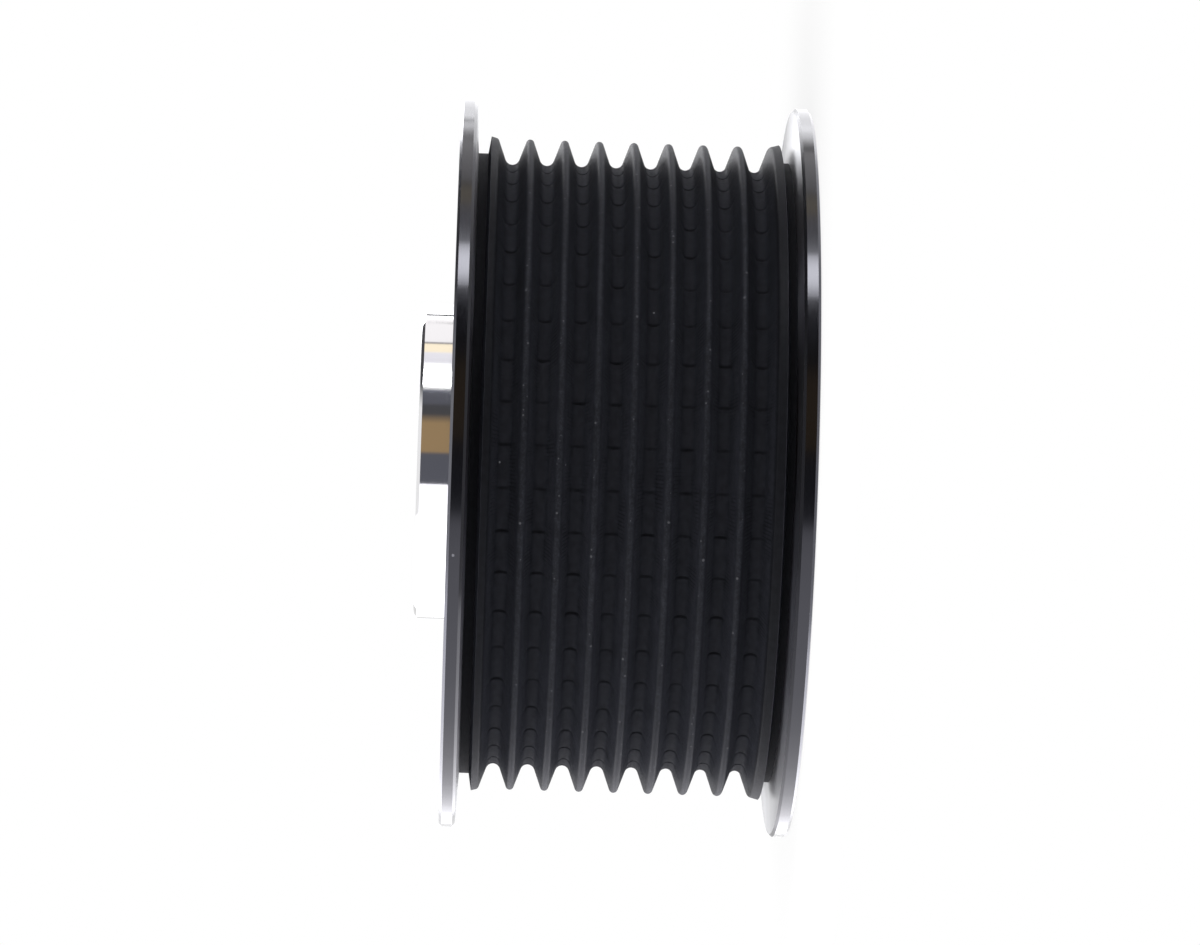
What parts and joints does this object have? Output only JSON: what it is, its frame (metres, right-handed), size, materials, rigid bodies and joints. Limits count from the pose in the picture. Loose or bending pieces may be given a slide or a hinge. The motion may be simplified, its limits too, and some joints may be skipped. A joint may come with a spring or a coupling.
{
  "type": "ribbed belt pulley",
  "caption": "Flanged multi-rib belt pulley in black anodised aluminium, with a bright steel hub standing out of one face and a plain shaft bore.",
  "frame": {"origin": "on the axis, in the plane of the outboard flange face that the pulley stands on", "axes": "+Z along the pulley's axis, from the outboard face towards the end that the hub stands out of"},
  "size_m": [0.0752, 0.0752, 0.039],
  "materials": {
    "black_anodised": "black hard-anodised, satin in the grooves and glossy on the flange rims",
    "bright_steel": "ground and polished bright"
  },
  "bodies": {
    "root": {"pulley_body": "black_anodised", "hub": "bright_steel"}
  },
  "joints": []
}
